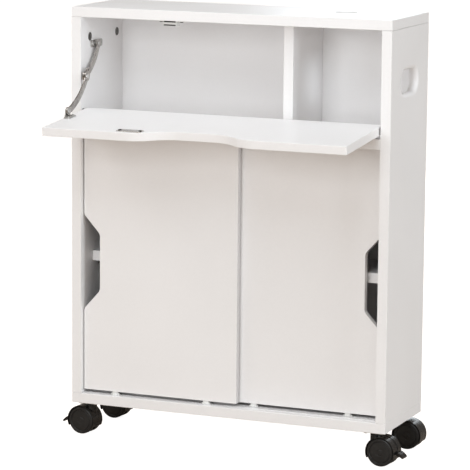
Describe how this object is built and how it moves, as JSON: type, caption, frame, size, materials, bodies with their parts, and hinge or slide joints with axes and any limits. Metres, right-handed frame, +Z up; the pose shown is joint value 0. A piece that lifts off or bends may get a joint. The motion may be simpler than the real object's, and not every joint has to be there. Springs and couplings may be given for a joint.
{
  "type": "sewing table",
  "caption": "Slim white rolling sewing cabinet with a drop-down work flap on a stay, sliding doors, a divided upper bay and twin-wheel casters.",
  "frame": {"origin": "on the floor, under the middle of the box round the whole object with its flap let down", "axes": "+X to the right seen from the front, +Y from front to back, +Z up"},
  "size_m": [0.66, 0.3523, 0.777],
  "materials": {
    "white_board": "white melamine foil, satin",
    "white_plastic": "moulded, semi-gloss",
    "black_plastic": "moulded nylon, semi-gloss",
    "dark_wheel": "moulded nylon, satin",
    "steel": "dull burnished steel",
    "zinc": "dull zinc plate",
    "magnet": "sintered, matt"
  },
  "bodies": {
    "cabinet": {"top_panel": "white_board", "bottom_panel": "white_board", "left_side_panel": "white_board", "right_side_panel": "white_board", "fixed_shelf": "white_board", "divider": "white_board", "back_panel": "white_board", "inner_shelf": "white_board", "pivot_bush_left": "black_plastic", "pivot_bush_right": "black_plastic", "cam_lock_left_front": "zinc", "cam_lock_left_rear": "zinc", "cam_lock_right_front": "zinc", "cam_lock_right_rear": "zinc", "shelf_pin_left_front": "zinc", "shelf_pin_left_rear": "zinc", "shelf_pin_right_front": "zinc", "shelf_pin_right_rear": "zinc", "stay_wall_bracket": "zinc", "catch_body": "white_plastic", "catch_plate_upper": "zinc", "catch_plate_lower": "zinc", "catch_magnet": "magnet", "caster_plate_front_left": "zinc", "caster_plate_front_right": "zinc", "caster_plate_rear_left": "zinc", "caster_plate_rear_right": "zinc"},
    "flap": {"drop_flap": "white_board", "flap_pin_left": "zinc", "flap_pin_right": "zinc", "strike_plate": "zinc", "stay_flap_bracket": "zinc"},
    "stay_upper": {"stay_upper_arm": "steel"},
    "stay_lower": {"stay_lower_arm": "steel", "stay_elbow_rivet": "zinc"},
    "left_door": {"left_sliding_door": "white_board", "left_door_glide_left": "white_plastic", "left_door_glide_right": "white_plastic"},
    "right_door": {"right_sliding_door": "white_board", "right_door_glide_left": "white_plastic", "right_door_glide_right": "white_plastic"},
    "caster_front_left": {"caster_hood_front_left": "black_plastic", "caster_axle_front_left": "zinc"},
    "wheel_front_left_outer": {"caster_wheel_front_left_outer": "dark_wheel"},
    "wheel_front_left_inner": {"caster_wheel_front_left_inner": "dark_wheel"},
    "caster_front_right": {"caster_hood_front_right": "black_plastic", "caster_axle_front_right": "zinc"},
    "wheel_front_right_outer": {"caster_wheel_front_right_outer": "dark_wheel"},
    "wheel_front_right_inner": {"caster_wheel_front_right_inner": "dark_wheel"},
    "caster_rear_left": {"caster_hood_rear_left": "black_plastic", "caster_axle_rear_left": "zinc"},
    "wheel_rear_left_outer": {"caster_wheel_rear_left_outer": "dark_wheel"},
    "wheel_rear_left_inner": {"caster_wheel_rear_left_inner": "dark_wheel"},
    "caster_rear_right": {"caster_hood_rear_right": "black_plastic", "caster_axle_rear_right": "zinc"},
    "wheel_rear_right_outer": {"caster_wheel_rear_right_outer": "dark_wheel"},
    "wheel_rear_right_inner": {"caster_wheel_rear_right_inner": "dark_wheel"},
    "brake_left": {"brake_lever_front_left": "black_plastic"},
    "brake_right": {"brake_lever_front_right": "black_plastic"}
  },
  "joints": [
    {"name": "flap_hinge", "type": "hinge", "parent": "cabinet", "child": "flap", "pos_m": [0, -0.0078, 0.5892], "axis": [-1, 0, 0], "range_deg": [0, 94.9]},
    {"name": "stay_upper_pivot", "type": "hinge", "parent": "cabinet", "child": "stay_upper", "pos_m": [-0.276, 0.0432, 0.708], "axis": [1, 0, 0], "range_deg": [0, 94.67]},
    {"name": "stay_lower_pivot", "type": "hinge", "parent": "flap", "child": "stay_lower", "pos_m": [-0.2727, -0.08567, 0.59959], "axis": [1, 0, 0], "range_deg": [0, 54.27]},
    {"name": "left_door_slide", "type": "slide", "parent": "cabinet", "child": "left_door", "axis": [1, 0, 0], "range_m": [0, 0.2627]},
    {"name": "right_door_slide", "type": "slide", "parent": "cabinet", "child": "right_door", "axis": [-1, 0, 0], "range_m": [0, 0.2627]},
    {"name": "swivel_front_left", "type": "hinge", "parent": "cabinet", "child": "caster_front_left", "pos_m": [-0.274, 0.0112, 0.045], "axis": [0, 0, 1], "continuous": true},
    {"name": "roll_front_left_outer", "type": "hinge", "parent": "caster_front_left", "child": "wheel_front_left_outer", "pos_m": [-0.28795, 0.01242, 0.025], "axis": [-0.0872, -0.9962, 0], "continuous": true},
    {"name": "roll_front_left_inner", "type": "hinge", "parent": "caster_front_left", "child": "wheel_front_left_inner", "pos_m": [-0.28795, 0.01242, 0.025], "axis": [-0.0872, -0.9962, 0], "continuous": true},
    {"name": "brake_pivot_left", "type": "hinge", "parent": "caster_front_left", "child": "brake_left", "pos_m": [-0.31983, 0.01521, 0.024], "axis": [-0.0872, -0.9962, 0], "range_deg": [-16, 0]},
    {"name": "swivel_front_right", "type": "hinge", "parent": "cabinet", "child": "caster_front_right", "pos_m": [0.274, 0.0112, 0.045], "axis": [0, 0, 1], "continuous": true},
    {"name": "roll_front_right_outer", "type": "hinge", "parent": "caster_front_right", "child": "wheel_front_right_outer", "pos_m": [0.28795, 0.00998, 0.025], "axis": [0.0872, 0.9962, 0], "continuous": true},
    {"name": "roll_front_right_inner", "type": "hinge", "parent": "caster_front_right", "child": "wheel_front_right_inner", "pos_m": [0.28795, 0.00998, 0.025], "axis": [0.0872, 0.9962, 0], "continuous": true},
    {"name": "brake_pivot_right", "type": "hinge", "parent": "caster_front_right", "child": "brake_right", "pos_m": [0.31983, 0.00719, 0.024], "axis": [0.0872, 0.9962, 0], "range_deg": [-16, 0]},
    {"name": "swivel_rear_left", "type": "hinge", "parent": "cabinet", "child": "caster_rear_left", "pos_m": [-0.274, 0.1482, 0.045], "axis": [0, 0, 1], "continuous": true},
    {"name": "roll_rear_left_outer", "type": "hinge", "parent": "caster_rear_left", "child": "wheel_rear_left_outer", "pos_m": [-0.28797, 0.14918, 0.025], "axis": [-0.0698, -0.9976, 0], "continuous": true},
    {"name": "roll_rear_left_inner", "type": "hinge", "parent": "caster_rear_left", "child": "wheel_rear_left_inner", "pos_m": [-0.28797, 0.14918, 0.025], "axis": [-0.0698, -0.9976, 0], "continuous": true},
    {"name": "swivel_rear_right", "type": "hinge", "parent": "cabinet", "child": "caster_rear_right", "pos_m": [0.274, 0.1482, 0.045], "axis": [0, 0, 1], "continuous": true},
    {"name": "roll_rear_right_outer", "type": "hinge", "parent": "caster_rear_right", "child": "wheel_rear_right_outer", "pos_m": [0.288, 0.14795, 0.025], "axis": [0.0175, 0.9998, 0], "continuous": true},
    {"name": "roll_rear_right_inner", "type": "hinge", "parent": "caster_rear_right", "child": "wheel_rear_right_inner", "pos_m": [0.288, 0.14795, 0.025], "axis": [0.0175, 0.9998, 0], "continuous": true}
  ],
  "couplings": [
    {"joint": "stay_upper_pivot", "follows": "flap_hinge", "ratio": 0.99702},
    {"joint": "stay_lower_pivot", "follows": "flap_hinge", "ratio": 0.57136}
  ]
}
